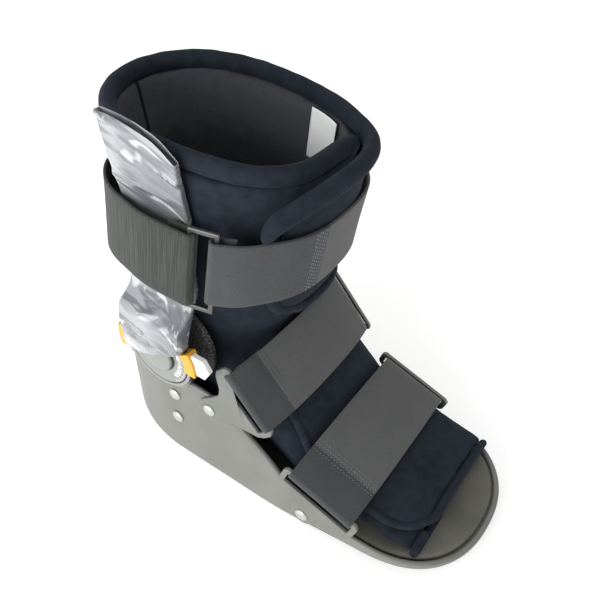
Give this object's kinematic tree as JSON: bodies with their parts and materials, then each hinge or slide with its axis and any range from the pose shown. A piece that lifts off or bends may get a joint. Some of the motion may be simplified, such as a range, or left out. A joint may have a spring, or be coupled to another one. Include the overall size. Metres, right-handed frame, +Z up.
{
  "type": "medical walking boot",
  "caption": "Ankle walking boot with a moulded rocker base, hinged uprights in clear film, a padded wrap liner and hook-and-loop straps.",
  "frame": {"origin": "on the floor, on the flat of the sole, straight under the axis of the ankle hinges", "axes": "+Z up, -Y towards the toe, +X across towards the right-hand side seen from behind the heel, which is the side the liner laps over from"},
  "size_m": [0.1498, 0.297, 0.2621],
  "materials": {
    "shell_plastic": "satin",
    "footbed_foam": "matte",
    "rivet_metal": "polished",
    "strap_cloth": "looped pile",
    "hinge_plastic": "satin",
    "pad_foam": "matte",
    "clip_plastic": "gloss",
    "grip_plastic": "satin",
    "upright_metal": "satin",
    "clear_film": "clear gloss",
    "liner_cloth": "brushed pile",
    "ring_plastic": "gloss",
    "label_cloth": "smooth"
  },
  "bodies": {
    "boot": {"base_shell": "shell_plastic", "insole": "footbed_foam", "rivet_left_1": "rivet_metal", "rivet_left_2": "rivet_metal", "rivet_left_3": "rivet_metal", "rivet_left_4": "rivet_metal", "rivet_right_1": "rivet_metal", "rivet_right_2": "rivet_metal", "rivet_right_3": "rivet_metal", "rivet_right_4": "rivet_metal", "strap_tab_rear_left": "shell_plastic", "strap_tab_rear_right": "shell_plastic", "strap_tab_front_left": "shell_plastic", "strap_tab_front_right": "shell_plastic", "ankle_strap": "strap_cloth", "forefoot_strap": "strap_cloth", "hinge_arm_left": "hinge_plastic", "hinge_arm_right": "hinge_plastic", "hinge_dial_left": "hinge_plastic", "hinge_dial_right": "hinge_plastic", "hinge_cap_left": "hinge_plastic", "hinge_cap_right": "hinge_plastic", "hinge_pad_left": "pad_foam", "hinge_pad_right": "pad_foam", "upright_left": "upright_metal", "upright_right": "upright_metal", "film_sleeve_left": "clear_film", "film_sleeve_right": "clear_film", "liner_body": "liner_cloth", "foot_flap": "liner_cloth", "shin_flap": "liner_cloth", "rim_binding": "liner_cloth", "calf_strap_front": "strap_cloth", "calf_strap_rear": "strap_cloth", "calf_ring": "ring_plastic", "size_label": "label_cloth"},
    "stop_left_front": {"stop_clip_left_front": "clip_plastic", "stop_grip_left": "grip_plastic"},
    "stop_left_rear": {"stop_clip_left_rear": "clip_plastic"},
    "stop_right_front": {"stop_clip_right_front": "clip_plastic", "stop_grip_right": "grip_plastic"},
    "stop_right_rear": {"stop_clip_right_rear": "clip_plastic"}
  },
  "joints": [
    {"name": "stop_left_front_pull", "type": "slide", "parent": "boot", "child": "stop_left_front", "axis": [0, -0.9781, 0.2079], "range_m": [0, 0.004]},
    {"name": "stop_left_rear_pull", "type": "slide", "parent": "boot", "child": "stop_left_rear", "axis": [0, 1, 0], "range_m": [0, 0.004]},
    {"name": "stop_right_front_pull", "type": "slide", "parent": "boot", "child": "stop_right_front", "axis": [0, -0.9781, 0.2079], "range_m": [0, 0.004]},
    {"name": "stop_right_rear_pull", "type": "slide", "parent": "boot", "child": "stop_right_rear", "axis": [0, 1, 0], "range_m": [0, 0.004]}
  ]
}
